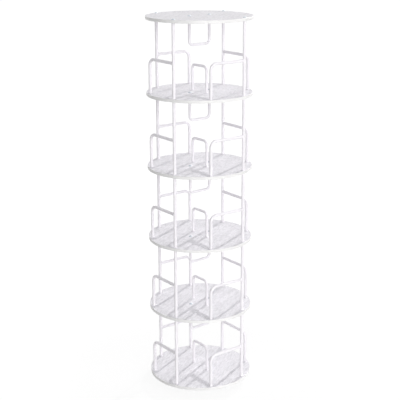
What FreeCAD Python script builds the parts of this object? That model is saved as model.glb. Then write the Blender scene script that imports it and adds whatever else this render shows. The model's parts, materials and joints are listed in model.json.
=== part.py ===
import FreeCAD, Part
import math
import os
import Sketcher

# Rotating shoe tower: six round boards stand one above the other on welded wire side frames.
# Every tier has four side frames, one wire loop standing in its middle and one hanging over it.
# The tower turns on a ball bearing between its bottom board and a smaller round base.
# Frame: +Z up, origin on the floor below the turning axis, millimetres and degrees.

TIERS = 5
QUARTERS = ("right", "back", "left", "front")
BALLS = 16
UP = FreeCAD.Vector(0, 0, 1)

SIZES = {
    # boards
    "board_diameter": 300,
    "board_thickness": 8.5,
    "band_thickness": 0.8,
    "band_chamfer": 0.4,
    "glue_line": 0.05,
    "tier_pitch": 211.5,
    # side frames: a full-height post and a shorter leg, joined by a bar
    "rod_diameter": 9,
    "post_inset": 9.5,
    "post_angle": -29.6,
    "leg_lag": 47.9,
    "bar_height": 95.5,
    "bar_bend_radius": 18,
    # wire loops on the axis
    "loop_rod_diameter": 8,
    "loop_bend_radius": 12,
    "centre_loop_width": 66,
    "centre_loop_height": 72.7,
    "centre_loop_angle": -53,
    "hanging_loop_width": 71.5,
    "hanging_loop_drop": 71.1,
    "hanging_loop_angle": 39.5,
    # screws and studs that hold the wires to the boards
    "screw_diameter": 5,
    "screw_reach": 13,
    "bore_clearance": 0.1,
    "bore_relief": 1.5,
    "hole_clearance": 0.25,
    "sunk_head_diameter": 9.2,
    "sunk_head_clearance": 0.15,
    "dome_head_diameter": 10,
    "dome_head_height": 2.4,
    "head_rim_height": 0.6,
    # base
    "base_diameter": 210,
    "base_thickness": 10,
    "foot_diameter": 22,
    "foot_height": 2.5,
    "foot_chamfer": 0.6,
    "foot_inset": 17,
    "access_hole_diameter": 14,
    # ball bearing of two pressed plates
    "lower_plate_turn": 0,
    "upper_plate_turn": 45,
    "plate_side": 130,
    "plate_corner_radius": 14,
    "plate_sheet": 1.2,
    "plate_hole_inset": 10,
    "race_radius": 50,
    "race_clearance": 0.15,
    "groove_standoff": 0.15,
    "crest_half_width": 4,
    "ball_diameter": 5,
    "cage_thickness": 1.2,
    "cage_half_width": 4.5,
    "cage_clearance": 0.2,
    "cage_gap": 0.8,
    "hem_radius": 28.8,
    "hem_lip": 4,
    "hem_clearance": 0.3,
    "hem_headroom": 0.7,
    # screws that hold the bearing's plates
    "plate_screw_diameter": 4,
    "plate_screw_reach": 6,
    "plate_screw_head_diameter": 7.5,
    "plate_screw_head_height": 2,
}

# What follows from the sizes, as expressions over the sheet.
POST_RADIUS = "(Sizes.board_diameter / 2 - Sizes.post_inset)"
POST_LENGTH = "(Sizes.tier_pitch - Sizes.board_thickness)"
CHORD = f"(2 * {POST_RADIUS} * sin(Sizes.leg_lag / 2))"
LEG_ANGLE = "(Sizes.post_angle - Sizes.leg_lag)"
CHORD_TURN = "(Sizes.post_angle - Sizes.leg_lag / 2 - 90)"
CENTRE_LEG_RADIUS = "(Sizes.centre_loop_width / 2)"
HANGING_LEG_RADIUS = "(Sizes.hanging_loop_width / 2)"
BASE_TOP = "(Sizes.foot_height + Sizes.base_thickness)"
GROOVE_RADIUS = "(Sizes.ball_diameter / 2 + Sizes.race_clearance)"
BEARING_RISE = f"(2 * ({GROOVE_RADIUS} + Sizes.plate_sheet + Sizes.groove_standoff))"
CREST_RISE = f"({BEARING_RISE} / 2 - Sizes.cage_thickness / 2 - Sizes.cage_gap)"
PRESSED_RADIUS = f"(Sizes.race_radius + Sizes.crest_half_width + {CREST_RISE})"
DISH_FALL = "(Sizes.plate_sheet + Sizes.hem_clearance + Sizes.hem_headroom)"
DISH_TOP = f"({BEARING_RISE} - {DISH_FALL})"
LIP_UNDER = f"({DISH_TOP} + Sizes.hem_clearance)"
HEM_OUTSIDE = "(Sizes.hem_radius + Sizes.plate_sheet)"
LIP_EDGE = f"({HEM_OUTSIDE} + Sizes.hem_lip)"
TOWER_FOOT = f"({BASE_TOP} + {BEARING_RISE})"
BORE_DIAMETER = "(Sizes.screw_diameter + 2 * Sizes.bore_clearance)"
BORE_DEPTH = "(Sizes.screw_reach + Sizes.bore_relief)"
HOLE_DIAMETER = "(Sizes.screw_diameter + 2 * Sizes.hole_clearance)"
PILOT_DIAMETER = "(Sizes.plate_screw_diameter + 2 * Sizes.bore_clearance)"
PILOT_DEPTH = "(Sizes.plate_screw_reach + Sizes.bore_relief / 2)"
PLATE_HOLE_DIAMETER = "(Sizes.plate_screw_diameter + 2 * Sizes.hole_clearance)"
PLATE_HOLE_RADIUS = "((Sizes.plate_side / 2 - Sizes.plate_hole_inset) * sqrt(2))"
LOWER_SCREW_ANGLE = "(Sizes.lower_plate_turn + 45)"
UPPER_SCREW_ANGLE = "(Sizes.upper_plate_turn + 45)"

doc = FreeCAD.newDocument("rotating_shoe_tower")
sheet = doc.addObject("Spreadsheet::Sheet", "Sizes")
for row, (alias, number) in enumerate(SIZES.items(), start=1):
    sheet.set(f"A{row}", alias)
    sheet.set(f"B{row}", str(number))
    sheet.setAlias(f"B{row}", alias)
doc.recompute()


def value(expression):
    """The number that an expression over the sheet gives now."""
    return float(sheet.evalExpression(expression))


def level_height(level):
    """Height of the underside of a board, counted from the bottom board as 0."""
    return f"({TOWER_FOOT} + {level} * Sizes.tier_pitch)"


def floor_of_tier(tier):
    """Height of the face that the wires of a tier stand on."""
    return f"({level_height(tier - 1)} + Sizes.board_thickness)"


# Helpers for bodies, sketches and features


def new_body(name):
    body = doc.addObject("PartDesign::Body", name)
    body.Label = name
    return body


def origin_part(body, role):
    return next(part for part in body.Origin.OriginFeatures if part.Role == role)


def new_sketch(body, name, plane="XY_Plane", lift=None):
    sketch = body.newObject("Sketcher::SketchObject", name)
    sketch.AttachmentSupport = [(origin_part(body, plane), "")]
    sketch.MapMode = "FlatFace"
    if lift:
        sketch.setExpression("AttachmentOffset.Base.z", lift)
    return sketch


def pin(sketch, geometry, end, x=None, y=None):
    """Holds a point of a sketch at a distance from the sketch's origin, along X, Y or both."""
    for axis, expression in (("DistanceX", x), ("DistanceY", y)):
        if expression is not None:
            rule = Sketcher.Constraint(axis, -1, 1, geometry, end, value(expression))
            sketch.setExpression(f"Constraints[{sketch.addConstraint(rule)}]", expression)


def add_circle(sketch, x, y, diameter):
    centre = FreeCAD.Vector(value(x), value(y), 0)
    circle = sketch.addGeometry(Part.Circle(centre, UP, value(diameter) / 2))
    pin(sketch, circle, 3, x, y)
    rule = sketch.addConstraint(Sketcher.Constraint("Diameter", circle, value(diameter)))
    sketch.setExpression(f"Constraints[{rule}]", diameter)


def arc_about(centre, start, end):
    """The short arc between two points, and whether it runs counterclockwise."""
    first = math.atan2(start.y - centre.y, start.x - centre.x)
    last = math.atan2(end.y - centre.y, end.x - centre.x)
    forward = (last - first) % (2 * math.pi) < math.pi
    if not forward:
        first, last = last, first
    circle = Part.Circle(centre, UP, centre.distanceToPoint(start))
    return Part.ArcOfCircle(circle, first, last), forward


def trace(sketch, points, centres=None, closed=True):
    """Draws a chain of lines through points, with an arc after each point that has a centre."""
    centres = centres or {}
    spots = [FreeCAD.Vector(value(x), value(y), 0) for x, y in points]
    runs = len(points) if closed else len(points) - 1
    chain = []
    for i in range(runs):
        start, end = spots[i], spots[(i + 1) % len(spots)]
        forward = True
        if i in centres:
            centre = FreeCAD.Vector(value(centres[i][0]), value(centres[i][1]), 0)
            curve, forward = arc_about(centre, start, end)
            geometry = sketch.addGeometry(curve)
            pin(sketch, geometry, 3, y=centres[i][1])
        else:
            geometry = sketch.addGeometry(Part.LineSegment(start, end))
        chain.append((geometry, 1, 2) if forward else (geometry, 2, 1))
        pin(sketch, geometry, chain[-1][1], *points[i])
    for before, after in zip(chain, chain[1:] + (chain[:1] if closed else [])):
        sketch.addConstraint(Sketcher.Constraint("Coincident", before[0], before[2], after[0], after[1]))
    if not closed:
        pin(sketch, chain[-1][0], chain[-1][2], *points[-1])


def pad(body, sketch, thickness):
    feature = body.newObject("PartDesign::Pad", f"{sketch.Label}_pad")
    feature.Profile = sketch
    feature.setExpression("Length", thickness)
    return feature


def revolve(body, name, points, axis_x="0", centres=None):
    """Turns a section in the XZ plane about an upright line at axis_x."""
    sketch = new_sketch(body, f"{name}_section", "XZ_Plane")
    trace(sketch, points, centres)
    top = FreeCAD.Vector(value(axis_x), 10, 0)
    axis = sketch.addGeometry(Part.LineSegment(FreeCAD.Vector(value(axis_x), 0, 0), top), True)
    sketch.addConstraint(Sketcher.Constraint("Vertical", axis))
    pin(sketch, axis, 1, axis_x, "0")
    feature = body.newObject("PartDesign::Revolution", name)
    feature.Profile = sketch
    feature.ReferenceAxis = (sketch, ["Axis0"])
    feature.Angle = 360
    return feature


def around(body, feature, count):
    """Repeats a feature evenly about the body's Z axis."""
    pattern = body.newObject("PartDesign::PolarPattern", f"{feature.Label}_around")
    pattern.Originals = [feature]
    pattern.Axis = (origin_part(body, "Z_Axis"), [""])
    pattern.Angle = 360
    pattern.Occurrences = count
    body.Tip = pattern
    return pattern


def around_and_up(body, feature, count, levels):
    """Repeats a feature about the body's Z axis, and that ring of it at every tier's pitch."""
    if levels == 1:
        return around(body, feature, count)
    pattern = body.newObject("PartDesign::MultiTransform", f"{feature.Label}_everywhere")
    pattern.Originals = [feature]
    ring = doc.addObject("PartDesign::PolarPattern", f"{feature.Label}_ring")
    ring.Axis = (origin_part(body, "Z_Axis"), [""])
    ring.Angle = 360
    ring.Occurrences = count
    stack = doc.addObject("PartDesign::LinearPattern", f"{feature.Label}_stack")
    stack.Direction = (origin_part(body, "Z_Axis"), [""])
    stack.Occurrences = levels
    stack.setExpression("Length", f"{levels - 1} * Sizes.tier_pitch")
    pattern.Transformations = [ring, stack]
    body.Tip = pattern
    return pattern


def cut_holes(body, name, radius, angle, diameter, count, depth=None, lift=None):
    """Round holes on a circle. They run up from a sketch at the underside, or down from a lifted one."""
    sketch = new_sketch(body, f"{name}_centre", lift=lift)
    add_circle(sketch, f"{radius} * cos({angle})", f"{radius} * sin({angle})", diameter)
    doc.recompute()
    before = body.Shape.Volume
    pocket = body.newObject("PartDesign::Pocket", name)
    pocket.Profile = sketch
    pocket.Reversed = lift is None
    if depth:
        pocket.setExpression("Length", depth)
    else:
        pocket.Type = "ThroughAll"
    if count > 1:
        around(body, pocket, count)
    doc.recompute()
    if body.Shape.Volume >= before:
        raise RuntimeError(f"{body.Label}: {name} cut nothing")


def cut_sunk_holes(body, name, radius, angle, count):
    """Holes for sunk heads, countersunk in the board's underside."""
    sketch = new_sketch(body, f"{name}_centre")
    add_circle(sketch, f"{radius} * cos({angle})", f"{radius} * sin({angle})", HOLE_DIAMETER)
    doc.recompute()
    before = body.Shape.Volume
    hole = body.newObject("PartDesign::Hole", name)
    hole.Profile = sketch
    hole.ThreadType = "None"
    hole.DepthType = "ThroughAll"
    hole.Reversed = True
    hole.HoleCutType = "Countersink"
    hole.HoleCutCountersinkAngle = 90
    hole.setExpression("Diameter", HOLE_DIAMETER)
    hole.setExpression("HoleCutDiameter", "Sizes.sunk_head_diameter + 2 * Sizes.sunk_head_clearance")
    around(body, hole, count)
    doc.recompute()
    if body.Shape.Volume >= before:
        raise RuntimeError(f"{body.Label}: {name} cut nothing")


def bore_ends(body, name, spots, lift=None):
    """Threaded bores in the ends of rods that stand on the XY plane, or hang from a lifted one."""
    sketch = new_sketch(body, f"{name}_centre", lift=lift)
    for x in spots:
        add_circle(sketch, x, "0", BORE_DIAMETER)
    doc.recompute()
    before = body.Shape.Volume
    bores = body.newObject("PartDesign::Pocket", name)
    bores.Profile = sketch
    bores.Reversed = lift is None
    bores.setExpression("Length", BORE_DEPTH)
    doc.recompute()
    if body.Shape.Volume >= before:
        raise RuntimeError(f"{body.Label}: {name} cut nothing")


def place(body, radius="0", angle="0", lift="0", turn="0"):
    """Stands a body at a radius and angle about the axis, at a height, turned about its own Z axis."""
    body.Placement = FreeCAD.Placement(FreeCAD.Vector(), FreeCAD.Rotation(UP, 1))
    body.setExpression("Placement.Base.x", f"{radius} * cos({angle})")
    body.setExpression("Placement.Base.y", f"{radius} * sin({angle})")
    body.setExpression("Placement.Base.z", lift)
    body.setExpression("Placement.Rotation.Angle", turn)


# Boards


def board(name, diameter, thickness):
    body = new_body(name)
    core = new_sketch(body, f"{name}_outline")
    add_circle(core, "0", "0", f"{diameter} - 2 * (Sizes.band_thickness + Sizes.glue_line)")
    pad(body, core, thickness)
    return body


def edge_band(name, diameter, thickness, lift):
    """The strip glued round a board's edge, with its outer corners broken."""
    inner = f"({diameter} / 2 - Sizes.band_thickness)"
    outer = f"({diameter} / 2)"
    corner = f"({outer} - Sizes.band_chamfer)"
    section = [
        (inner, "0"),
        (corner, "0"),
        (outer, "Sizes.band_chamfer"),
        (outer, f"{thickness} - Sizes.band_chamfer"),
        (corner, thickness),
        (inner, thickness),
    ]
    body = new_body(name)
    revolve(body, f"{name}_strip", section)
    place(body, lift=lift)


def tower_board(name, level):
    """A board of the tower, drilled for the wires above and below it."""
    body = board(name, "Sizes.board_diameter", "Sizes.board_thickness")
    posts = (POST_RADIUS, "Sizes.post_angle")
    if level == 0:
        cut_sunk_holes(body, f"{name}_post_holes", *posts, 4)
        cut_holes(
            body, f"{name}_pilot_holes", PLATE_HOLE_RADIUS, UPPER_SCREW_ANGLE, PILOT_DIAMETER, 4, PILOT_DEPTH
        )
    else:
        cut_holes(body, f"{name}_post_holes", *posts, HOLE_DIAMETER, 4)
        cut_holes(
            body, f"{name}_hanging_holes", HANGING_LEG_RADIUS, "Sizes.hanging_loop_angle", HOLE_DIAMETER, 2
        )
    if level < TIERS:
        cut_sunk_holes(body, f"{name}_leg_holes", POST_RADIUS, LEG_ANGLE, 4)
        cut_sunk_holes(body, f"{name}_centre_holes", CENTRE_LEG_RADIUS, "Sizes.centre_loop_angle", 2)
    place(body, lift=level_height(level))


def build_boards():
    for level in range(TIERS + 1):
        place_name = {0: "bottom", TIERS: "top"}.get(level, "shelf")
        number = "" if level in (0, TIERS) else f"_{level}"
        tower_board(f"{place_name}_board{number}", level)
        edge_band(
            f"{place_name}_edge_band{number}", "Sizes.board_diameter", "Sizes.board_thickness",
            level_height(level),
        )


# Wires


def side_frame(name, tier, quarter):
    """A post from board to board with a bent leg welded to it. The post is on the body's Z axis."""
    body = new_body(name)
    post = new_sketch(body, f"{name}_post")
    add_circle(post, "0", "0", "Sizes.rod_diameter")
    pad(body, post, POST_LENGTH)
    foot = new_sketch(body, f"{name}_leg")
    add_circle(foot, CHORD, "0", "Sizes.rod_diameter")
    path = new_sketch(body, f"{name}_path", "XZ_Plane")
    bend_low = "(Sizes.bar_height - Sizes.bar_bend_radius)"
    bend_in = f"({CHORD} - Sizes.bar_bend_radius)"
    points = [(CHORD, "0"), (CHORD, bend_low), (bend_in, "Sizes.bar_height"), ("0", "Sizes.bar_height")]
    trace(path, points, {1: (bend_in, bend_low)}, closed=False)
    leg = body.newObject("PartDesign::AdditivePipe", f"{name}_bent_leg")
    leg.Profile = foot
    leg.Spine = path
    bore_ends(body, f"{name}_foot_bores", ["0", CHORD])
    bore_ends(body, f"{name}_top_bore", ["0"], POST_LENGTH)
    place(
        body, POST_RADIUS, f"(Sizes.post_angle + 90 * {quarter})", floor_of_tier(tier),
        f"{CHORD_TURN} + 90 * {quarter}",
    )


def wire_loop(name, width, rise, lift, turn, hanging=False):
    """A rod bent to an upside-down U, or the right way up where it hangs from the board above."""
    sign = "-1" if hanging else "1"
    side = f"({width} / 2)"
    shoulder = f"({width} / 2 - Sizes.loop_bend_radius)"
    bend_start = f"({sign} * ({rise} - Sizes.loop_bend_radius))"
    crown = f"({sign} * {rise})"
    points = [
        (f"-{side}", "0"),
        (f"-{side}", bend_start),
        (f"-{shoulder}", crown),
        (shoulder, crown),
        (side, bend_start),
        (side, "0"),
    ]
    body = new_body(name)
    foot = new_sketch(body, f"{name}_rod")
    add_circle(foot, f"-{side}", "0", "Sizes.loop_rod_diameter")
    path = new_sketch(body, f"{name}_path", "XZ_Plane")
    trace(path, points, {1: (f"-{shoulder}", bend_start), 3: (shoulder, bend_start)}, closed=False)
    rod = body.newObject("PartDesign::AdditivePipe", f"{name}_bent_rod")
    rod.Profile = foot
    rod.Spine = path
    bore_ends(body, f"{name}_bores", [f"-{side}", side], "0" if hanging else None)
    place(body, lift=lift, turn=turn)


def build_wires():
    for tier in range(1, TIERS + 1):
        for quarter, where in enumerate(QUARTERS):
            side_frame(f"side_frame_{tier}_{where}", tier, quarter)
        wire_loop(
            f"centre_loop_{tier}", "Sizes.centre_loop_width", "Sizes.centre_loop_height",
            floor_of_tier(tier), "Sizes.centre_loop_angle",
        )
        wire_loop(
            f"hanging_loop_{tier}", "Sizes.hanging_loop_width", "Sizes.hanging_loop_drop",
            level_height(tier), "Sizes.hanging_loop_angle", hanging=True,
        )


# Screws and studs


def sunk_screws(name, radius, angle, count, levels):
    """Sunk-head screws driven up through a board from its underside, at the lowest levels."""
    shank = "(Sizes.screw_diameter / 2)"
    head = "(Sizes.sunk_head_diameter / 2)"
    tip = "(Sizes.board_thickness + Sizes.screw_reach)"
    section = [
        (radius, "0"),
        (f"{radius} + {head}", "0"),
        (f"{radius} + {shank}", f"{head} - {shank}"),
        (f"{radius} + {shank}", tip),
        (radius, tip),
    ]
    body = new_body(name)
    screw = revolve(body, f"{name}_screw", section, radius)
    around_and_up(body, screw, count, levels)
    place(body, lift=level_height(0), turn=angle)


def dome_section(radius, shank_diameter, head_diameter, head_height, reach, sign):
    """Half section of a dome-head screw whose head rests on z = 0, its shank pointing against sign."""
    shank = f"({shank_diameter} / 2)"
    head = f"({head_diameter} / 2)"
    rise = f"({head_height} - Sizes.head_rim_height)"
    dome_radius = f"(({head} ^ 2 + {rise} ^ 2) / (2 * {rise}))"
    points = [
        (radius, f"{sign} * {head_height}"),
        (f"{radius} + {head}", f"{sign} * Sizes.head_rim_height"),
        (f"{radius} + {head}", "0"),
        (f"{radius} + {shank}", "0"),
        (f"{radius} + {shank}", f"-1 * {sign} * {reach}"),
        (radius, f"-1 * {sign} * {reach}"),
    ]
    return points, {0: (radius, f"{sign} * ({head_height} - {dome_radius})")}


def dome_screws(name, radius, angle, count, level, levels):
    """Dome-head screws driven down through a board, from the given level up."""
    reach = "(Sizes.board_thickness + Sizes.screw_reach)"
    section, centres = dome_section(
        radius, "Sizes.screw_diameter", "Sizes.dome_head_diameter", "Sizes.dome_head_height", reach, 1
    )
    body = new_body(name)
    screw = revolve(body, f"{name}_screw", section, radius, centres)
    around_and_up(body, screw, count, levels)
    place(body, lift=floor_of_tier(level + 1), turn=angle)


def plate_screws(name, turn, lift, sign):
    """The four screws of a bearing plate. Their heads stand on its inner face."""
    reach = "(Sizes.plate_sheet + Sizes.plate_screw_reach)"
    section, centres = dome_section(
        PLATE_HOLE_RADIUS, "Sizes.plate_screw_diameter", "Sizes.plate_screw_head_diameter",
        "Sizes.plate_screw_head_height", reach, sign,
    )
    body = new_body(name)
    screw = revolve(body, f"{name}_screw", section, PLATE_HOLE_RADIUS, centres)
    around(body, screw, 4)
    place(body, lift=lift, turn=turn)


def post_studs(name):
    """Headless studs that join the posts of two tiers through the shelf board between them."""
    reach = "Sizes.screw_reach"
    side = f"({POST_RADIUS} + Sizes.screw_diameter / 2)"
    section = [
        (POST_RADIUS, f"-1 * {reach}"),
        (side, f"-1 * {reach}"),
        (side, f"Sizes.board_thickness + {reach}"),
        (POST_RADIUS, f"Sizes.board_thickness + {reach}"),
    ]
    body = new_body(name)
    stud = revolve(body, f"{name}_stud", section, POST_RADIUS)
    around_and_up(body, stud, 4, TIERS - 1)
    place(body, lift=level_height(1), turn="Sizes.post_angle")


def build_fasteners():
    post_studs("post_studs")
    posts = (POST_RADIUS, "Sizes.post_angle", 4)
    sunk_screws("bottom_post_screws", *posts, 1)
    sunk_screws("loop_leg_screws", POST_RADIUS, LEG_ANGLE, 4, TIERS)
    sunk_screws("centre_loop_screws", CENTRE_LEG_RADIUS, "Sizes.centre_loop_angle", 2, TIERS)
    dome_screws("top_post_screws", *posts, TIERS, 1)
    dome_screws("hanging_loop_screws", HANGING_LEG_RADIUS, "Sizes.hanging_loop_angle", 2, 1, TIERS)


# Base and bearing


def base_disc(name):
    body = board(name, "Sizes.base_diameter", "Sizes.base_thickness")
    cut_holes(
        body, f"{name}_pilot_holes", PLATE_HOLE_RADIUS, LOWER_SCREW_ANGLE, PILOT_DIAMETER, 4,
        PILOT_DEPTH, "Sizes.base_thickness",
    )
    cut_holes(
        body, f"{name}_access_hole", PLATE_HOLE_RADIUS, UPPER_SCREW_ANGLE, "Sizes.access_hole_diameter", 1
    )
    place(body, lift="Sizes.foot_height")


def rubber_feet(name):
    centre = "(Sizes.base_diameter / 2 - Sizes.foot_inset)"
    side = f"({centre} + Sizes.foot_diameter / 2)"
    section = [
        (centre, "0"),
        (f"{side} - Sizes.foot_chamfer", "0"),
        (side, "Sizes.foot_chamfer"),
        (side, "Sizes.foot_height"),
        (centre, "Sizes.foot_height"),
    ]
    body = new_body(name)
    foot = revolve(body, f"{name}_foot", section, centre)
    around(body, foot, 4)
    place(body, turn=LOWER_SCREW_ANGLE)


def race_section(inner_rim, flipped):
    """Section of a pressed plate: its inner rim, then the ridge with the groove that the balls run in.

    Heights count from the plate's outer face, or down from the bearing's top where it is flipped.
    """
    sheet_metal = "Sizes.plate_sheet"
    race = "Sizes.race_radius"
    middle = f"({BEARING_RISE} / 2)"
    groove_back = f"({GROOVE_RADIUS} + {sheet_metal})"
    crest = CREST_RISE
    crest_back = f"({crest} - {sheet_metal})"
    mitre = f"({sheet_metal} * tan(22.5))"
    lip = f"sqrt({GROOVE_RADIUS} ^ 2 - ({middle} - {crest}) ^ 2)"
    lip_back = f"sqrt({groove_back} ^ 2 - ({middle} - {crest_back}) ^ 2)"
    ridge = "Sizes.crest_half_width"
    toe = f"({ridge} + {crest} - {sheet_metal})"
    face = [
        (f"{race} - {toe}", sheet_metal),
        (f"{race} - {ridge}", crest),
        (f"{race} - {lip}", crest),
        (f"{race} + {lip}", crest),
        (f"{race} + {ridge}", crest),
        (f"{race} + {toe}", sheet_metal),
        (PRESSED_RADIUS, sheet_metal),
        (PRESSED_RADIUS, "0"),
        (f"{race} + {toe} - {mitre}", "0"),
        (f"{race} + {ridge} - {mitre}", crest_back),
        (f"{race} + {lip_back}", crest_back),
        (f"{race} - {lip_back}", crest_back),
        (f"{race} - {ridge} + {mitre}", crest_back),
        (f"{race} - {toe} + {mitre}", "0"),
    ]
    if flipped:
        face = [(x, f"({BEARING_RISE} - {z})") for x, z in face]
    before = len(inner_rim)
    centres = {before + 2: (race, middle), before + 10: (race, middle)}
    return inner_rim + face, centres


def bearing_plate(name, inner_rim, flipped, lift, turn):
    """A square pressed plate: flat corners with screw holes, and the pressed middle."""
    section, centres = race_section(inner_rim, flipped)
    body = new_body(name)
    top_face = f"{BEARING_RISE} - Sizes.plate_sheet"
    flange = new_sketch(body, f"{name}_flange", lift=top_face if flipped else None)
    half = "(Sizes.plate_side / 2)"
    flat = "(Sizes.plate_side / 2 - Sizes.plate_corner_radius)"
    corners = [
        (half, f"-{flat}"),
        (half, flat),
        (flat, half),
        (f"-{flat}", half),
        (f"-{half}", flat),
        (f"-{half}", f"-{flat}"),
        (f"-{flat}", f"-{half}"),
        (flat, f"-{half}"),
    ]
    corner_centres = {
        1: (flat, flat),
        3: (f"-{flat}", flat),
        5: (f"-{flat}", f"-{flat}"),
        7: (flat, f"-{flat}"),
    }
    trace(flange, corners, corner_centres)
    add_circle(flange, "0", "0", f"2 * {PRESSED_RADIUS}")
    pad(body, flange, "Sizes.plate_sheet")
    revolve(body, f"{name}_pressing", section, centres=centres)
    cut_holes(body, f"{name}_screw_holes", PLATE_HOLE_RADIUS, "45", PLATE_HOLE_DIAMETER, 4)
    place(body, lift=lift, turn=turn)


def lower_plate_rim():
    """The lower plate's rim turns up and out over the upper plate's, and so holds the bearing together."""
    return [
        ("Sizes.hem_radius", "0"),
        ("Sizes.hem_radius", f"{LIP_UNDER} + Sizes.plate_sheet"),
        (LIP_EDGE, f"{LIP_UNDER} + Sizes.plate_sheet"),
        (LIP_EDGE, LIP_UNDER),
        (HEM_OUTSIDE, LIP_UNDER),
        (HEM_OUTSIDE, "Sizes.plate_sheet"),
    ]


def upper_plate_rim():
    """The upper plate's rim is dished, so that the lower plate's lip stays below its top face."""
    dish_edge = f"({LIP_EDGE} + 3 * Sizes.hem_clearance)"
    mitre = "(Sizes.plate_sheet * tan(22.5))"
    inside = f"({HEM_OUTSIDE} + Sizes.hem_clearance)"
    under = f"({DISH_TOP} - Sizes.plate_sheet)"
    return [
        (f"{dish_edge} + {DISH_FALL}", BEARING_RISE),
        (dish_edge, DISH_TOP),
        (inside, DISH_TOP),
        (inside, under),
        (f"{dish_edge} + {mitre}", under),
        (f"{dish_edge} + {mitre} + {DISH_FALL}", f"{BEARING_RISE} - Sizes.plate_sheet"),
    ]


def ball_cage(name):
    body = new_body(name)
    ring = new_sketch(body, f"{name}_ring", lift=f"{BEARING_RISE} / 2 - Sizes.cage_thickness / 2")
    add_circle(ring, "0", "0", "2 * (Sizes.race_radius + Sizes.cage_half_width)")
    add_circle(ring, "0", "0", "2 * (Sizes.race_radius - Sizes.cage_half_width)")
    pad(body, ring, "Sizes.cage_thickness")
    pocket = "Sizes.ball_diameter + 2 * Sizes.cage_clearance"
    cut_holes(body, f"{name}_pockets", "Sizes.race_radius", "0", pocket, BALLS)
    place(body, lift=BASE_TOP)


def bearing_balls(name):
    body = new_body(name)
    ball = body.newObject("PartDesign::AdditiveSphere", f"{name}_ball")
    ball.AttachmentSupport = [(origin_part(body, "XY_Plane"), "")]
    ball.MapMode = "FlatFace"
    ball.setExpression("Radius", "Sizes.ball_diameter / 2")
    ball.setExpression("AttachmentOffset.Base.x", "Sizes.race_radius")
    ball.setExpression("AttachmentOffset.Base.z", f"{BEARING_RISE} / 2")
    around(body, ball, BALLS)
    place(body, lift=BASE_TOP)


def build_base():
    base_disc("base_disc")
    edge_band("base_edge_band", "Sizes.base_diameter", "Sizes.base_thickness", "Sizes.foot_height")
    rubber_feet("rubber_feet")
    bearing_plate("bearing_lower_plate", lower_plate_rim(), False, BASE_TOP, "Sizes.lower_plate_turn")
    bearing_plate("bearing_upper_plate", upper_plate_rim(), True, BASE_TOP, "Sizes.upper_plate_turn")
    ball_cage("ball_cage")
    bearing_balls("bearing_balls")
    plate_screws("lower_plate_screws", LOWER_SCREW_ANGLE, f"{BASE_TOP} + Sizes.plate_sheet", 1)
    plate_screws("upper_plate_screws", UPPER_SCREW_ANGLE, f"{TOWER_FOOT} - Sizes.plate_sheet", -1)


def check_document():
    for item in doc.Objects:
        if "Invalid" in item.State or "Error" in item.State:
            raise RuntimeError(f"{item.Label} failed: {item.State}")


def write_bodies():
    os.makedirs("parts", exist_ok=True)
    for body in doc.findObjects("PartDesign::Body"):
        shape = body.Shape
        if shape.isNull() or not shape.isValid() or not shape.Solids:
            raise RuntimeError(f"{body.Label} has no valid solid")
        shape.exportStep(os.path.join("parts", f"{body.Label}.step"))


build_boards()
build_wires()
build_fasteners()
build_base()
doc.recompute()
check_document()
write_bodies()
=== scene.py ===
import json
import math

import bmesh
import bpy
from mathutils import Matrix, Vector


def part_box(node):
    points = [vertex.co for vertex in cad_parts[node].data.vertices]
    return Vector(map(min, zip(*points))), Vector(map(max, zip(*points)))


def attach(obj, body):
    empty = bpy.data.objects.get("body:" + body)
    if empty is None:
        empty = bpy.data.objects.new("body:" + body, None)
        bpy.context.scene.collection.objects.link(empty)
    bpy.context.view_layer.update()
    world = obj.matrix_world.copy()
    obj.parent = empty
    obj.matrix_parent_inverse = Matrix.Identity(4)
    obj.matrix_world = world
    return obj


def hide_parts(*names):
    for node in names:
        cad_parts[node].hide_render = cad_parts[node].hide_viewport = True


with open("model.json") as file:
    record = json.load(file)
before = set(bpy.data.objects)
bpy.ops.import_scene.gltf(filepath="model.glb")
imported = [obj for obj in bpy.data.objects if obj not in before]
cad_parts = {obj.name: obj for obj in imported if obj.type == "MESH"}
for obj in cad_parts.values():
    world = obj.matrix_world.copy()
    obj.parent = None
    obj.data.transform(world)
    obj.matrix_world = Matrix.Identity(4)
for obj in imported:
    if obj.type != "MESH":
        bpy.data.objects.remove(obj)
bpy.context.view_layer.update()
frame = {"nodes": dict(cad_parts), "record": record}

# A white rotating shoe tower in a plain white studio. The frame gives every node in place and in metres;
# this script gives the nodes their finishes and adds the small details: screw heads with their cross
# recesses, and weld beads where the bars meet the posts.

TIERS = 5
BOARD_NODES = ["bottom_board"] + [f"shelf_board_{level}" for level in range(1, TIERS)] + ["top_board"]
NODES = frame["nodes"]


# Helpers


def add_object(name, data):
    """A new object in the scene."""
    thing = bpy.data.objects.new(name, data)
    bpy.context.scene.collection.objects.link(thing)
    return thing


def to_mesh(shape, name):
    """The shape as a mesh."""
    mesh = bpy.data.meshes.new(name)
    shape.to_mesh(mesh)
    shape.free()
    return mesh


def closed_mesh(shape, name):
    """The shape as a mesh whose faces all look outwards."""
    bmesh.ops.recalc_face_normals(shape, faces=shape.faces)
    return to_mesh(shape, name)


def map_range(tree, value, limits, results):
    """The value moved from one range to another, and kept inside it."""
    node = tree.nodes.new("ShaderNodeMapRange")
    for socket, number in zip(("From Min", "From Max", "To Min", "To Max"), (*limits, *results)):
        node.inputs[socket].default_value = number
    tree.links.new(value, node.inputs["Value"])
    return node.outputs["Result"]


# Camera

CAMERA_PLACE = (0.0, -2.73645, 1.34315)
CAMERA_PITCH = 16.0557
CAMERA_YAW = -0.006
CAMERA_ROLL = -0.176
CAMERA_LENS = 88.051
CAMERA_SENSOR = 36.0
CAMERA_RANGE = 100.0


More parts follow.
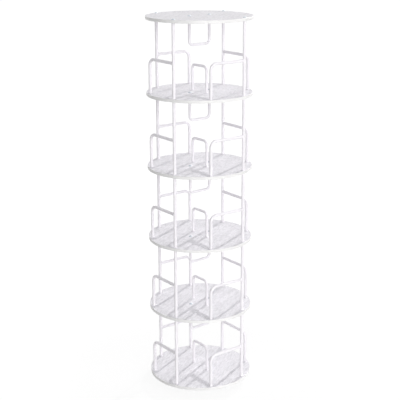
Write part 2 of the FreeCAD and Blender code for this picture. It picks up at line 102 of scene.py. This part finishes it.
def build_camera():
    data = bpy.data.cameras.new("camera")
    data.lens = CAMERA_LENS
    data.sensor_width = CAMERA_SENSOR
    data.clip_end = CAMERA_RANGE
    camera = add_object("camera", data)
    turn = Matrix.Rotation(math.radians(CAMERA_YAW), 4, "Z")
    tilt = Matrix.Rotation(math.radians(90.0 - CAMERA_PITCH), 4, "X")
    roll = Matrix.Rotation(math.radians(CAMERA_ROLL), 4, "Z")
    camera.matrix_world = Matrix.Translation(CAMERA_PLACE) @ turn @ tilt @ roll
    bpy.context.scene.camera = camera


# Light

# The sun that casts the shadows: its direction seen from above, and its elevation and width in degrees.
KEY_PLAN = (0.48, 0.877)
KEY_ELEVATION = 24.7
KEY_ANGLE = 0.4
KEY_STRENGTH = 1.6
KEY_COLOUR = (1.0, 0.985, 0.975)
# Soft boxes in a ring: name, azimuth from +X and elevation in degrees, power in watts.
BOXES = (
    ("front", -87.0, 12.0, 318.0),
    ("front_low", -50.0, 12.0, 265.0),
    ("front_high", -25.0, 35.0, 120.0),
    ("right", 40.0, 35.0, 185.0),
    ("back_high", 130.0, 40.0, 75.0),
    ("back_low", 125.0, 15.0, 130.0),
    ("front_left", -120.0, 45.0, 52.0),
)
BOX_DISTANCE = 9.0
BOX_SIDE = 5.0
BOX_TARGET = (0.0, 0.0, 0.55)
SKY_STRENGTH = 0.17
SKY_COLOUR = (0.98, 0.975, 1.0)
WHITE = (1.0, 1.0, 1.0)


def aim(thing, place, target):
    """Puts a lamp at a place and turns it to its target."""
    thing.location = place
    thing.rotation_euler = (Vector(target) - Vector(place)).to_track_quat("-Z", "Y").to_euler()


def build_key():
    key = bpy.data.lights.new("key", "SUN")
    key.energy = KEY_STRENGTH
    key.angle = math.radians(KEY_ANGLE)
    key.color = KEY_COLOUR
    rise = math.tan(math.radians(KEY_ELEVATION)) * math.hypot(*KEY_PLAN)
    aim(add_object("key", key), (*KEY_PLAN, rise), (0, 0, 0))


def build_boxes():
    for name, azimuth, elevation, power in BOXES:
        box = bpy.data.lights.new(f"{name}_box", "AREA")
        box.shape = "SQUARE"
        box.size = BOX_SIDE
        box.energy = power
        lamp = add_object(f"{name}_box", box)
        lamp.visible_camera = False
        turn, rise = math.radians(azimuth), math.radians(elevation)
        way = Vector((math.cos(turn) * math.cos(rise), math.sin(turn) * math.cos(rise), math.sin(rise)))
        aim(lamp, Vector(BOX_TARGET) + BOX_DISTANCE * way, BOX_TARGET)


def camera_rays(tree):
    """A value that is 1 for rays that show a surface as it looks, and 0 for those that carry its light."""
    path = tree.nodes.new("ShaderNodeLightPath")
    seen = path.outputs["Is Camera Ray"]
    for name in ("Is Glossy Ray", "Is Transmission Ray"):
        either = tree.nodes.new("ShaderNodeMath")
        either.operation = "MAXIMUM"
        tree.links.new(seen, either.inputs[0])
        tree.links.new(path.outputs[name], either.inputs[1])
        seen = either.outputs[0]
    return seen


def lit_and_seen(tree, lit, seen, output_type):
    """Gives the tree one shader for the rays that carry light, and another for those that look."""
    mix = tree.nodes.new("ShaderNodeMixShader")
    output = tree.nodes.new(output_type)
    tree.links.new(camera_rays(tree), mix.inputs[0])
    tree.links.new(lit.outputs[0], mix.inputs[1])
    tree.links.new(seen.outputs[0], mix.inputs[2])
    tree.links.new(mix.outputs[0], output.inputs["Surface"])


def build_world():
    """A weak sky that looks plain white."""
    world = bpy.data.worlds.new("studio")
    bpy.context.scene.world = world
    world.use_nodes = True
    tree = world.node_tree
    tree.nodes.clear()
    sky = tree.nodes.new("ShaderNodeBackground")
    sky.inputs["Color"].default_value = (*SKY_COLOUR, 1)
    sky.inputs["Strength"].default_value = SKY_STRENGTH
    backdrop = tree.nodes.new("ShaderNodeBackground")
    backdrop.inputs["Color"].default_value = (*WHITE, 1)
    lit_and_seen(tree, sky, backdrop, "ShaderNodeOutputWorld")


FLOOR_RADIUS = 40.0
FLOOR_SEGMENTS = 96
FLOOR_HEIGHT = -0.0002
# The floor's colour and its glow go from the first number to the second between two distances in metres.
FLOOR_FADE = (0.35, 1.1)
FLOOR_COLOURS = (0.84, 0.57)
FLOOR_GLOWS = (0.91, 1.0)
FLOOR_SHADE = (0.1, 0.1, 0.1)


def build_floor():
    """A pale floor that looks white, with the tower's shadow faint on it."""
    shape = bmesh.new()
    bmesh.ops.create_circle(shape, cap_ends=True, segments=FLOOR_SEGMENTS, radius=FLOOR_RADIUS)
    floor = add_object("floor", to_mesh(shape, "floor"))
    floor.location.z = FLOOR_HEIGHT
    material = bpy.data.materials.new("floor")
    material.use_nodes = True
    tree = material.node_tree
    tree.nodes.clear()
    place = tree.nodes.new("ShaderNodeTexCoord")
    length = tree.nodes.new("ShaderNodeVectorMath")
    length.operation = "LENGTH"
    tree.links.new(place.outputs["Object"], length.inputs[0])
    distance = length.outputs["Value"]
    plain = tree.nodes.new("ShaderNodeBsdfDiffuse")
    tree.links.new(map_range(tree, distance, FLOOR_FADE, FLOOR_COLOURS), plain.inputs["Color"])
    shade = tree.nodes.new("ShaderNodeBsdfDiffuse")
    shade.inputs["Color"].default_value = (*FLOOR_SHADE, 1)
    glow = tree.nodes.new("ShaderNodeEmission")
    tree.links.new(map_range(tree, distance, FLOOR_FADE, FLOOR_GLOWS), glow.inputs["Strength"])
    seen = tree.nodes.new("ShaderNodeAddShader")
    tree.links.new(shade.outputs[0], seen.inputs[0])
    tree.links.new(glow.outputs[0], seen.inputs[1])
    lit_and_seen(tree, plain, seen, "ShaderNodeOutputMaterial")
    floor.data.materials.append(material)


# Materials

# The part of a noise's range that most of its values lie in.
MIDDLE = (0.3, 0.7)
# How far the boards' grain is turned from front to back, in degrees.
GRAIN_TURN = 22.0


class Finish:
    """A material whose colour, roughness and relief come from patterns in the piece's own coordinates."""

    def __init__(self, slot, **constants):
        self.material = bpy.data.materials.new(slot)
        self.material.use_nodes = True
        self.tree = self.material.node_tree
        self.shader = self.tree.nodes["Principled BSDF"]
        for socket, number in constants.items():
            self.shader.inputs[socket.replace("_", " ")].default_value = number
        self.coordinates = self.tree.nodes.new("ShaderNodeTexCoord").outputs["Object"]

    def mapped(self, socket, numbers):
        """The coordinates, turned or scaled by a number for each axis."""
        mapping = self.tree.nodes.new("ShaderNodeMapping")
        mapping.inputs[socket].default_value = numbers
        self.tree.links.new(self.coordinates, mapping.inputs["Vector"])
        return mapping.outputs["Vector"]

    def turn(self, degrees):
        """Turns all patterns that follow about the upright axis."""
        self.coordinates = self.mapped("Rotation", (0.0, 0.0, math.radians(degrees)))

    def noise(self, scale=1.0, detail=3.0, roughness=0.55, stretch=(1, 1, 1)):
        """A cloudy pattern, with the scale and the stretch in waves per metre."""
        pattern = self.tree.nodes.new("ShaderNodeTexNoise")
        pattern.inputs["Scale"].default_value = scale
        pattern.inputs["Detail"].default_value = detail
        pattern.inputs["Roughness"].default_value = roughness
        self.tree.links.new(self.mapped("Scale", stretch), pattern.inputs["Vector"])
        return pattern.outputs["Fac"]

    def cells(self, scale):
        """A value of its own for each grain of a crystal pattern."""
        pattern = self.tree.nodes.new("ShaderNodeTexVoronoi")
        pattern.inputs["Scale"].default_value = scale
        self.tree.links.new(self.coordinates, pattern.inputs["Vector"])
        split = self.tree.nodes.new("ShaderNodeSeparateColor")
        self.tree.links.new(pattern.outputs["Color"], split.inputs["Color"])
        return split.outputs[0]

    def blend(self, pattern, limits, one, other, most=1.0):
        """Turns one colour into the other, at most by a share of it, as the pattern crosses its limits.

        Each colour is three numbers or an output.
        """
        mix = self.tree.nodes.new("ShaderNodeMix")
        mix.data_type = "RGBA"
        self.tree.links.new(map_range(self.tree, pattern, limits, (0.0, most)), mix.inputs["Factor"])
        for socket, colour in ((mix.inputs[6], one), (mix.inputs[7], other)):
            if isinstance(colour, bpy.types.NodeSocket):
                self.tree.links.new(colour, socket)
            else:
                socket.default_value = (*colour, 1)
        return mix.outputs[2]

    def colour(self, output):
        self.tree.links.new(output, self.shader.inputs["Base Color"])

    def roughness(self, pattern, limits, results):
        """A roughness that goes from one number to another as the pattern crosses its limits."""
        self.tree.links.new(map_range(self.tree, pattern, limits, results), self.shader.inputs["Roughness"])

    def relief(self, pattern, height):
        """Bumps of a height in metres, over those that are there already."""
        bump = self.tree.nodes.new("ShaderNodeBump")
        bump.inputs["Distance"].default_value = height
        self.tree.links.new(pattern, bump.inputs["Height"])
        before = self.shader.inputs["Normal"].links
        if before:
            self.tree.links.new(before[0].from_socket, bump.inputs["Normal"])
        self.tree.links.new(bump.outputs["Normal"], self.shader.inputs["Normal"])


def laminate():
    """White melamine with a fine pressed wood grain that runs from front to back, a little askew."""
    finish = Finish("board", Specular_IOR_Level=0.15)
    finish.turn(GRAIN_TURN)
    grain = finish.noise(roughness=0.6, stretch=(230, 60, 160))
    pores = finish.noise(detail=2.0, stretch=(1500, 90, 400))
    streaks = finish.noise(detail=2.0, stretch=(40, 14, 40))
    light = finish.blend(grain, (0.35, 0.65), (0.964, 0.953, 0.989), (0.784, 0.775, 0.805))
    dark = finish.blend(grain, (0.35, 0.65), (0.924, 0.914, 0.948), (0.744, 0.736, 0.763))
    ground = finish.blend(streaks, (0.36, 0.64), light, dark)
    finish.colour(finish.blend(pores, (0.5, 0.7), ground, (0.69, 0.682, 0.708), most=0.5))
    finish.roughness(pores, MIDDLE, (0.52, 0.66))
    finish.relief(grain, 0.00006)
    finish.relief(pores, 0.00003)
    return finish.material


def edging():
    """Plastic edging, a little warmer than the boards, with faint milling marks."""
    finish = Finish("edge_band", Specular_IOR_Level=0.3)
    marks = finish.noise(detail=2.0, stretch=(260, 260, 900))
    cloud = finish.noise(30.0)
    finish.colour(finish.blend(cloud, MIDDLE, (0.87, 0.868, 0.862), (0.83, 0.826, 0.816)))
    finish.roughness(marks, MIDDLE, (0.34, 0.46))
    finish.relief(marks, 0.00004)
    return finish.material


def powder_coat():
    """White powder coat with a fine orange-peel relief."""
    finish = Finish("wire", Specular_IOR_Level=0.35)
    peel = finish.noise(1400.0, detail=2.0)
    cloud = finish.noise(22.0)
    finish.colour(finish.blend(cloud, MIDDLE, (0.90, 0.88, 0.908), (0.865, 0.845, 0.878)))
    finish.roughness(peel, MIDDLE, (0.34, 0.44))
    finish.relief(peel, 0.00004)
    return finish.material


def plated():
    """Dull bluish zinc plating on a steel screw."""
    finish = Finish("screw", Metallic=1.0)
    cloud = finish.noise(500.0)
    marks = finish.noise(2200.0, detail=1.0)
    finish.colour(finish.blend(cloud, MIDDLE, (0.53, 0.575, 0.61), (0.425, 0.47, 0.505)))
    finish.roughness(marks, MIDDLE, (0.5, 0.64))
    finish.relief(marks, 0.00002)
    return finish.material


def galvanised():
    """Zinc-coated sheet steel with its crystal pattern and the drag lines of the press."""
    finish = Finish("bearing_plate", Metallic=1.0)
    crystals = finish.cells(240.0)
    lines = finish.noise(detail=2.0, stretch=(160, 900, 160))
    tone = finish.blend(crystals, (0.0, 1.0), (0.66, 0.67, 0.69), (0.50, 0.51, 0.53))
    finish.colour(finish.blend(lines, (0.4, 0.7), tone, (0.60, 0.60, 0.61), most=0.3))
    finish.roughness(crystals, (0.0, 1.0), (0.32, 0.48))
    finish.relief(lines, 0.00003)
    return finish.material


def polished():
    """Hardened steel balls, polished, with fine scuffs of running."""
    finish = Finish("bearing_ball", Metallic=1.0)
    scuffs = finish.noise(900.0, detail=4.0)
    finish.colour(finish.blend(scuffs, (0.4, 0.6), (0.80, 0.81, 0.83), (0.72, 0.73, 0.75)))
    finish.roughness(scuffs, (0.35, 0.65), (0.08, 0.2))
    return finish.material


def cage_plastic():
    """Dark moulded plastic with a fine spark-eroded surface."""
    finish = Finish("ball_cage", Specular_IOR_Level=0.4)
    grain = finish.noise(1800.0, detail=2.0)
    cloud = finish.noise(60.0)
    finish.colour(finish.blend(cloud, MIDDLE, (0.052, 0.055, 0.06), (0.036, 0.038, 0.042)))
    finish.roughness(grain, MIDDLE, (0.45, 0.62))
    finish.relief(grain, 0.00005)
    return finish.material


def foot_rubber():
    """Black rubber, dusty in its pores."""
    finish = Finish("foot", Specular_IOR_Level=0.3)
    grain = finish.noise(1300.0)
    cloud = finish.noise(120.0)
    finish.colour(finish.blend(cloud, (0.4, 0.75), (0.021, 0.021, 0.022), (0.045, 0.044, 0.043)))
    finish.roughness(grain, MIDDLE, (0.68, 0.88))
    finish.relief(grain, 0.00008)
    return finish.material


FINISHES = {
    "board": laminate,
    "edge_band": edging,
    "wire": powder_coat,
    "screw": plated,
    "bearing_plate": galvanised,
    "ball_cage": cage_plastic,
    "bearing_ball": polished,
    "foot": foot_rubber,
}


def dress_nodes():
    """Gives every node the finish of its slot in the record."""
    made = {slot: finish() for slot, finish in FINISHES.items()}
    for part in frame["record"]["subparts"]:
        materials = NODES[part["node"]].data.materials
        for i in range(len(materials)):
            materials[i] = made[part["material_slot"]]
    return made


# Screws

# The rings that wires and screws stand on, as in the solids: distance from the axis in metres, and the first
# one's angle in degrees.
POSTS = (0.1405, -29.6)
LEGS = (0.1405, -77.5)
CENTRE_FEET = (0.033, -53.0)
HANGING_FEET = (0.03575, 39.5)
LOWER_PLATE_HOLES = (0.0778, 45.0)
UPPER_PLATE_HOLES = (0.0778, 90.0)

# Sizes in metres. A screw through a board goes past it into a wire, by WIRE_REACH.
DOME_HEAD = {"radius": 0.005, "height": 0.0024, "rim": 0.0006, "shank": 0.0025}
PLATE_HEAD = {"radius": 0.00375, "height": 0.002, "rim": 0.0006, "shank": 0.002}
SUNK_HEAD = {"radius": 0.0046, "shank": 0.0025}
WIRE_REACH = 0.013
PLATE_SHANK = 0.0072

# A dome goes out to a share of the head's radius, and a bevel goes on down to a share of the rim's height.
DOME_STEPS = 8
DOME_SHARE = 0.985
RIM_SHARE = 0.85
# A sunk head's flat face goes out to a share of its radius, and the bevel round it has this height.
FACE_SHARE = 0.96
FACE_BEVEL = 0.0001
# A cross recess: its reach and width as shares of the head's radius, and its depth as a share of the dome's
# height or of the sunk head's radius.
DOME_RECESS = (0.52, 0.26, 0.6)
SUNK_RECESS = (0.55, 0.28, 0.32)
# The punch's arms above the face and at the bottom: their length as a share of the recess's reach, and half
# their width as a share of its width.
PUNCH_MOUTH = (1.25, 0.55)
PUNCH_TIP = (0.3, 0.36)

HEAD_SEGMENTS = 48
# Edges shorter than this many metres, left by the punch, are closed.
SLIVER = 0.000002
# Edges with more than this many degrees between their faces stay sharp.
SHARP_ANGLE = 32.0
# Each screw is turned its own way: by a step in degrees for each place in its ring and each millimetre of
# its height.
TURN_STEP = 137.5
STEPS_PER_METRE = 1000.0


def ring_places(spot, count, heights, flip=False):
    """Where the screws of a ring stand, at each of the heights."""
    radius, first = spot
    over = Matrix.Rotation(math.pi if flip else 0.0, 4, "X")
    places = []
    for height in heights:
        for i in range(count):
            angle = math.radians(first + 360.0 / count * i)
            place = Matrix.Translation((radius * math.cos(angle), radius * math.sin(angle), height))
            turn = math.radians(TURN_STEP * (i + STEPS_PER_METRE * height))
            places.append(place @ over @ Matrix.Rotation(turn, 4, "Z"))
    return places


def turned(profile):
    """A solid of revolution through points of radius and height, from axis to axis."""
    shape = bmesh.new()
    angles = [math.tau * i / HEAD_SEGMENTS for i in range(HEAD_SEGMENTS)]
    rings = []
    for radius, height in profile:
        if radius == 0.0:
            rings.append([shape.verts.new((0.0, 0.0, height))] * HEAD_SEGMENTS)
        else:
            points = [(radius * math.cos(angle), radius * math.sin(angle), height) for angle in angles]
            rings.append([shape.verts.new(point) for point in points])
    for upper, lower in zip(rings, rings[1:]):
        for i in range(HEAD_SEGMENTS):
            j = (i + 1) % HEAD_SEGMENTS
            corners = [upper[i], lower[i], lower[j], upper[j]]
            shape.faces.new(list(dict.fromkeys(corners)))
    return closed_mesh(shape, "turned")


def cross_punch(top, reach, width, depth):
    """The tapered cross that a cross recess is pressed with."""
    shape = bmesh.new()
    rings = []
    for height, (long, wide) in ((top + depth, PUNCH_MOUTH), (top - depth, PUNCH_TIP)):
        arm, half = reach * long, width * wide
        outline = []
        for quarter in range(4):
            turn = Matrix.Rotation(math.radians(90.0 * quarter), 3, "Z")
            for x, y in ((arm, -half), (arm, half), (half, half)):
                outline.append(shape.verts.new(turn @ Vector((x, y, height))))
        rings.append(outline)
    mouth, tip = rings
    for i in range(len(mouth)):
        j = (i + 1) % len(mouth)
        shape.faces.new([mouth[i], tip[i], tip[j], mouth[j]])
    shape.faces.new(mouth)
    shape.faces.new(list(reversed(tip)))
    return closed_mesh(shape, "punch")


def punched(blank, punch):
    """The blank with the punch's shape taken out."""
    pieces = [add_object("blank", blank), add_object("punch", punch)]
    cut = pieces[0].modifiers.new("cut", "BOOLEAN")
    cut.operation = "DIFFERENCE"
    cut.solver = "EXACT"
    cut.object = pieces[1]
    result = bpy.data.meshes.new_from_object(pieces[0].evaluated_get(bpy.context.evaluated_depsgraph_get()))
    for piece in pieces:
        bpy.data.objects.remove(piece)
    shape = bmesh.new()
    shape.from_mesh(result)
    bmesh.ops.dissolve_degenerate(shape, dist=SLIVER, edges=shape.edges)
    shape.to_mesh(result)
    shape.free()
    return result


def dome_screw(head, shank_length):
    """A dome-head screw with a cross recess. It stands on z = 0 and its shank points down."""
    radius, height, rim = head["radius"], head["height"], head["rim"]
    rise = height - rim
    ball = (radius ** 2 + rise ** 2) / (2 * rise)
    profile = [(0.0, height)]
    for step in range(1, DOME_STEPS + 1):
        distance = radius * step / DOME_STEPS * DOME_SHARE
        profile.append((distance, height - ball + math.sqrt(ball ** 2 - distance ** 2)))
    profile += [(radius, rim * RIM_SHARE), (radius, 0.0), (head["shank"], 0.0)]
    profile += [(head["shank"], -shank_length), (0.0, -shank_length)]
    reach, width, depth = DOME_RECESS
    return punched(turned(profile), cross_punch(height, radius * reach, radius * width, height * depth))


def sunk_screw(head, shank_length):
    """A sunk-head screw with a cross recess. Its head's face is at z = 0 and its shank points down."""
    radius, shank = head["radius"], head["shank"]
    profile = [(0.0, 0.0), (radius * FACE_SHARE, 0.0), (radius, -FACE_BEVEL), (shank, -(radius - shank))]
    profile += [(shank, -shank_length), (0.0, -shank_length)]
    reach, width, depth = SUNK_RECESS
    return punched(turned(profile), cross_punch(0.0, radius * reach, radius * width, radius * depth))


def stamped(name, mesh, places):
    """One object with a copy of the mesh at each place."""
    shape = bmesh.new()
    for place in places:
        before = len(shape.verts)
        shape.from_mesh(mesh)
        shape.verts.ensure_lookup_table()
        bmesh.ops.transform(shape, matrix=place, verts=shape.verts[before:])
    joined = to_mesh(shape, name)
    joined.shade_smooth()
    joined.set_sharp_from_angle(angle=math.radians(SHARP_ANGLE))
    return add_object(name, joined)


def add_screws(made):
    """Screws with cross recesses, each in place of its plain solid."""
    bottoms = [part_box(node)[0][2] for node in BOARD_NODES]
    tops = [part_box(node)[1][2] for node in BOARD_NODES]
    through_board = tops[0] - bottoms[0] + WIRE_REACH
    dome = dome_screw(DOME_HEAD, through_board)
    sunk = sunk_screw(SUNK_HEAD, through_board)
    plate = dome_screw(PLATE_HEAD, PLATE_SHANK)
    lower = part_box("lower_plate_screws")[1][2] - PLATE_HEAD["height"]
    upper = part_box("upper_plate_screws")[0][2] + PLATE_HEAD["height"]
    sets = {
        "top_post_screws": (dome, ring_places(POSTS, 4, tops[TIERS:])),
        "hanging_loop_screws": (dome, ring_places(HANGING_FEET, 2, tops[1:])),
        "bottom_post_screws": (sunk, ring_places(POSTS, 4, bottoms[:1], flip=True)),
        "loop_leg_screws": (sunk, ring_places(LEGS, 4, bottoms[:TIERS], flip=True)),
        "centre_loop_screws": (sunk, ring_places(CENTRE_FEET, 2, bottoms[:TIERS], flip=True)),
        "lower_plate_screws": (plate, ring_places(LOWER_PLATE_HOLES, 4, [lower])),
        "upper_plate_screws": (plate, ring_places(UPPER_PLATE_HOLES, 4, [upper], flip=True)),
    }
    for node, (mesh, places) in sets.items():
        piece = stamped(f"{node}_cross", mesh, places)
        piece.data.materials.append(made["screw"])
        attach(piece, "base" if node == "lower_plate_screws" else "tower")
        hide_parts(node)


# Weld beads

# As in the solids, in metres: the rods' radius and the height of a bar over its board.
ROD_RADIUS = 0.0045
BAR_HEIGHT = 0.0955

BEAD_RADIUS = 0.0011
BEAD_STEPS = 72
BEAD_SIDES = 10
BEAD_RIPPLES = 19
BEAD_SWELL = 0.13
# Each ring of the bead starts on its outer side, leaning by this much along the bar.
BEAD_LEAN = 0.5
# The radius, in metres, that rounds the crease on each side of the line where bar and post meet.
BEAD_CREASE = 0.001


def bead_mesh():
    """The weld bead round the end of a bar. The post is on the Z axis and the bar runs along X."""
    shape = bmesh.new()
    spine = []
    for step in range(BEAD_STEPS):
        turn = math.tau * step / BEAD_STEPS
        y, z = ROD_RADIUS * math.cos(turn), ROD_RADIUS * math.sin(turn)
        spine.append(Vector((math.sqrt(z ** 2 + BEAD_CREASE ** 2), y, z)))
    rings = []
    for step, point in enumerate(spine):
        along = (spine[(step + 1) % BEAD_STEPS] - spine[step - 1]).normalized()
        outward = Vector((BEAD_LEAN, point.y / ROD_RADIUS, point.z / ROD_RADIUS))
        outward = (outward - along * outward.dot(along)).normalized()
        across = along.cross(outward)
        radius = BEAD_RADIUS * (1.0 + BEAD_SWELL * math.sin(BEAD_RIPPLES * math.tau * step / BEAD_STEPS))
        rings.append([
            shape.verts.new(point + radius * (outward * math.cos(a) + across * math.sin(a)))
            for a in (math.tau * side / BEAD_SIDES for side in range(BEAD_SIDES))
        ])
    for ring, next_ring in zip(rings, rings[1:] + rings[:1]):
        for side in range(BEAD_SIDES):
            other = (side + 1) % BEAD_SIDES
            shape.faces.new([ring[side], ring[other], next_ring[other], next_ring[side]])
    return closed_mesh(shape, "bead")


def add_weld_beads(made):
    """A bead round each bar's end, where it meets its post."""
    mesh = bead_mesh()
    radius, first = POSTS
    # A bar is a chord from its post to its leg, so it leaves the post square to the direction halfway.
    lag = first - LEGS[1]
    for tier in range(1, TIERS + 1):
        board_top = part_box(BOARD_NODES[tier - 1])[1][2]
        places = []
        for quarter in range(4):
            angle = first + 90.0 * quarter
            spot = Vector((math.cos(math.radians(angle)), math.sin(math.radians(angle)), 0)) * radius
            place = Matrix.Translation(spot + Vector((0, 0, board_top + BAR_HEIGHT)))
            places.append(place @ Matrix.Rotation(math.radians(angle - lag / 2 - 90.0), 4, "Z"))
        piece = stamped(f"weld_beads_{tier}", mesh, places)
        piece.data.materials.append(made["wire"])
        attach(piece, "tower")


build_camera()
build_key()
build_boxes()
build_world()
build_floor()
finishes = dress_nodes()
add_screws(finishes)
add_weld_beads(finishes)
bpy.context.scene.view_settings.view_transform = "Standard"
